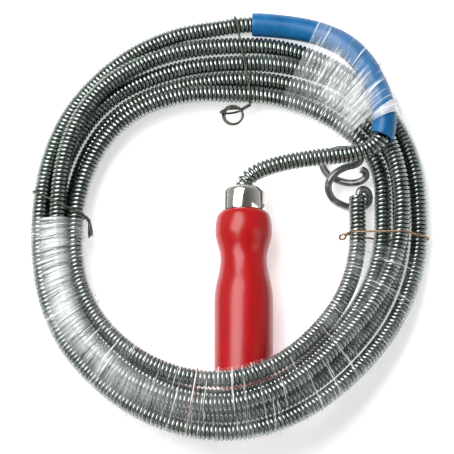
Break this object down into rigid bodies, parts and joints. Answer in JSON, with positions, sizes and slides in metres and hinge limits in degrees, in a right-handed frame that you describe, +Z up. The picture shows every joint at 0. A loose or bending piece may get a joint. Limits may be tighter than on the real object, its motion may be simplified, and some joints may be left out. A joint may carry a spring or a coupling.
{
  "type": "drain snake",
  "caption": "Hand-cranked drain cleaning cable: spring coil with corkscrew hook, bent crank arm in a grip sleeve, turning wooden handle, tied and film-wrapped for storage.",
  "frame": {"origin": "under the middle of the outline of the pieces that are not free cable, on the surface that the tool lies on", "axes": "+Z up from the surface, +Y along the handle from its butt to its ferrule, +X towards the free end with the hook"},
  "size_m": [0.1995, 0.2276, 0.041],
  "materials": {
    "red_lacquer": "gloss lacquer",
    "ferrule_plate": "bright nickel plate",
    "rod_steel": "bare",
    "cable_steel": "dull bright drawn wire",
    "blue_vinyl": "gloss",
    "clear_film": "clear gloss",
    "tie_steel": "dark annealed",
    "tie_copper": "copper washed"
  },
  "bodies": {
    "snake": {"butt_washer": "rod_steel", "crank_rod": "rod_steel", "cable_crank_arm": "cable_steel", "cable_sleeve_run": "cable_steel", "cable_coil": "cable_steel", "cable_free_end": "cable_steel", "corkscrew_hook": "cable_steel", "grip_sleeve": "blue_vinyl", "wrap_film_coil": "clear_film", "wrap_film_sleeve": "clear_film", "tie_wire_top": "tie_steel", "tie_wire_left": "tie_steel", "tie_wire_right": "tie_copper", "tie_wire_bottom": "tie_copper"},
    "handle": {"handle_grip": "red_lacquer", "ferrule": "ferrule_plate", "ferrule_brad": "rod_steel"}
  },
  "joints": [
    {"name": "handle_spin", "type": "hinge", "parent": "snake", "child": "handle", "pos_m": [0.0073, 0.0055, 0.0147], "axis": [0, 1, 0], "continuous": true}
  ]
}
